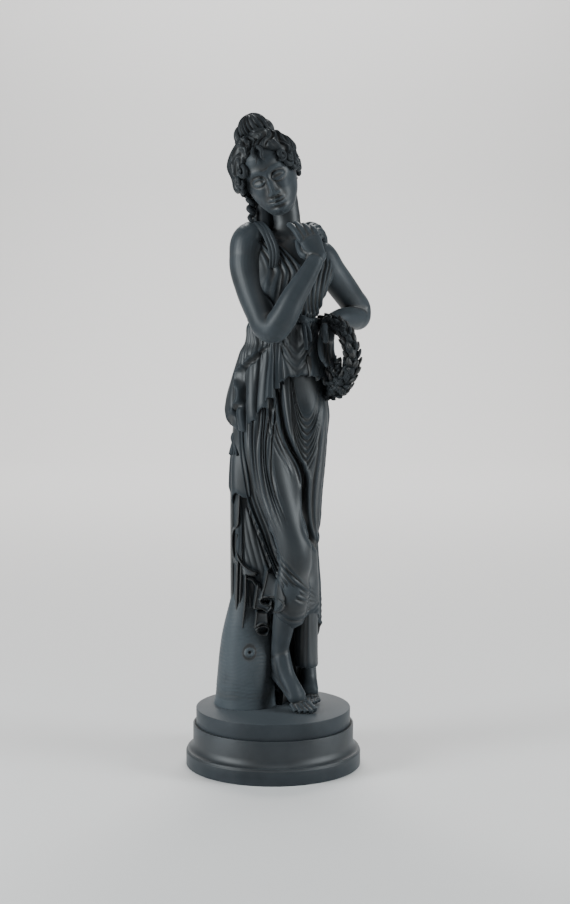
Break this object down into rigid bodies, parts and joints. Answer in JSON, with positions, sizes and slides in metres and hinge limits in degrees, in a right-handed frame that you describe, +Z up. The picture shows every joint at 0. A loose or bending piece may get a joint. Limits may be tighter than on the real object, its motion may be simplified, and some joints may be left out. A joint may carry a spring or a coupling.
{
  "type": "statue",
  "caption": "Standing draped goddess figure, one hand raised to her shoulder and one at her hip with a leaf wreath, beside a tree stump on a round turned plinth.",
  "frame": {"origin": "centre of the plinth's flat underside", "axes": "+Z up the figure, the figure faces -Y, +X to the right of someone who looks at her face"},
  "size_m": [0.1432, 0.1354, 0.4979],
  "materials": {
    "cast": "matte"
  },
  "bodies": {
    "root": {"figure": "cast", "plinth": "cast"}
  },
  "joints": []
}
